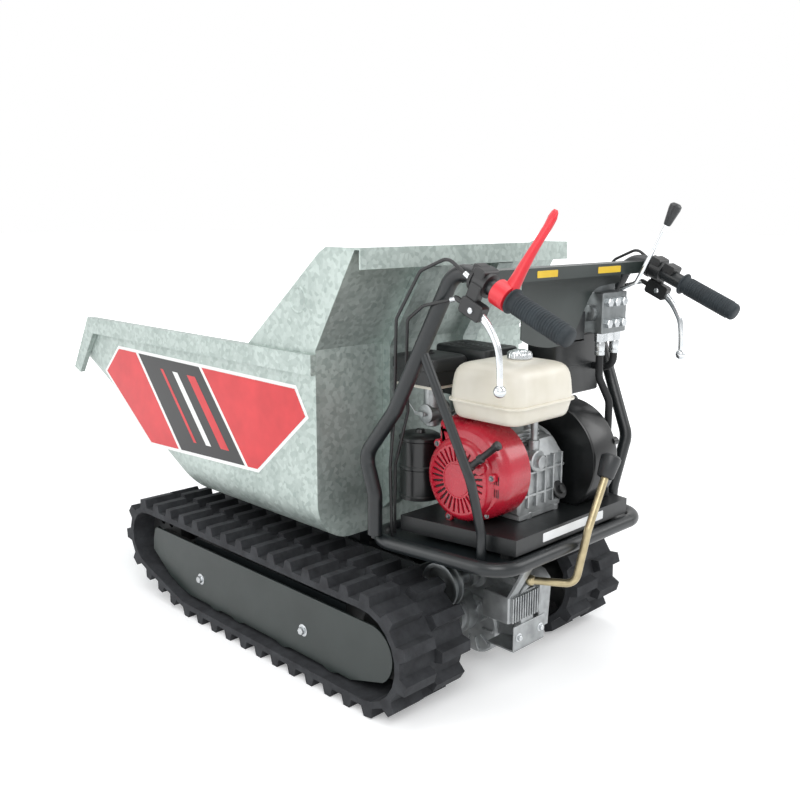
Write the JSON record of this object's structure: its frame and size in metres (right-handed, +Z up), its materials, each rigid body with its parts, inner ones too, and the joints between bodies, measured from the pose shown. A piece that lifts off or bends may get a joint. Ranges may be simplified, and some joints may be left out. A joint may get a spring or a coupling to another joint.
{
  "type": "tracked mini dumper",
  "caption": "Walk-behind tracked mini dumper: galvanised tipping skip on rubber tracks, open petrol engine on a rear platform, handlebars with levers.",
  "frame": {"origin": "on the ground under the middle of the bounding box", "axes": "+X forward to the skip's lip, +Y to the machine's left, +Z up"},
  "size_m": [1.6252, 0.73, 1.0047],
  "materials": {
    "track_rubber": "moulded, matt",
    "side_plate_paint": "satin grey-green paint",
    "frame_paint": "satin dark paint",
    "platform_paint": "gloss dark paint",
    "pin_steel": "turned",
    "cast_aluminium": "as cast",
    "lever_paint": "beige paint",
    "cover_paint": "gloss red",
    "tank_paint": "gloss off-white",
    "cap_plating": "plated",
    "black_plastic": "moulded",
    "grip_rubber": "moulded",
    "zinc_coat": "hot-dip galvanised"
  },
  "bodies": {
    "chassis": {"track_left": "track_rubber", "track_right": "track_rubber", "track_beam_left": "frame_paint", "track_beam_right": "frame_paint", "side_plate_left": "side_plate_paint", "side_plate_right": "side_plate_paint", "idler_left": "frame_paint", "idler_right": "frame_paint", "sprocket_left": "frame_paint", "sprocket_right": "frame_paint", "chassis_frame": "frame_paint", "hinge_pin": "pin_steel", "gearbox": "cast_aluminium", "drive_pulley": "pin_steel", "gear_lever": "lever_paint", "platform": "platform_paint", "engine_base": "platform_paint", "engine_block": "cast_aluminium", "recoil_cover": "cover_paint", "starter_grip": "black_plastic", "fuel_tank": "tank_paint", "fuel_cap": "cap_plating", "air_cleaner": "black_plastic", "muffler_guard": "black_plastic", "canister": "black_plastic", "belt_guard": "black_plastic", "handle_left": "platform_paint", "handle_right": "platform_paint", "grip_left": "grip_rubber", "grip_right": "grip_rubber", "control_left": "black_plastic", "control_right": "black_plastic", "brake_lever_left": "cap_plating", "brake_lever_right": "cap_plating", "stop_lever": "cover_paint", "cross_panel": "platform_paint", "hydraulic_valve": "cast_aluminium", "tip_lever": "black_plastic", "oil_tank": "black_plastic"},
    "skip": {"skip_body": "zinc_coat", "skip_rim": "zinc_coat", "skip_ribs": "zinc_coat", "skip_underframe": "zinc_coat"},
    "barrel": {"cylinder_barrel": "frame_paint"},
    "rod": {"cylinder_rod": "cap_plating"}
  },
  "joints": [
    {"name": "skip_tip", "type": "hinge", "parent": "chassis", "child": "skip", "pos_m": [0.42, 0, 0.262], "axis": [0, 1, 0], "range_deg": [0, 65]},
    {"name": "cylinder_swing", "type": "hinge", "parent": "chassis", "child": "barrel", "pos_m": [-0.25, 0, 0.112], "axis": [0, -1, 0], "range_deg": [0, 11.7]},
    {"name": "rod_slide", "type": "slide", "parent": "barrel", "child": "rod", "axis": [0.9607, 0, 0.2777], "range_m": [0, 0.12422]}
  ],
  "couplings": [
    {"joint": "cylinder_swing", "follows": "skip_tip", "ratio": 0.18},
    {"joint": "rod_slide", "follows": "skip_tip", "m_per_rad": 0.1095}
  ]
}
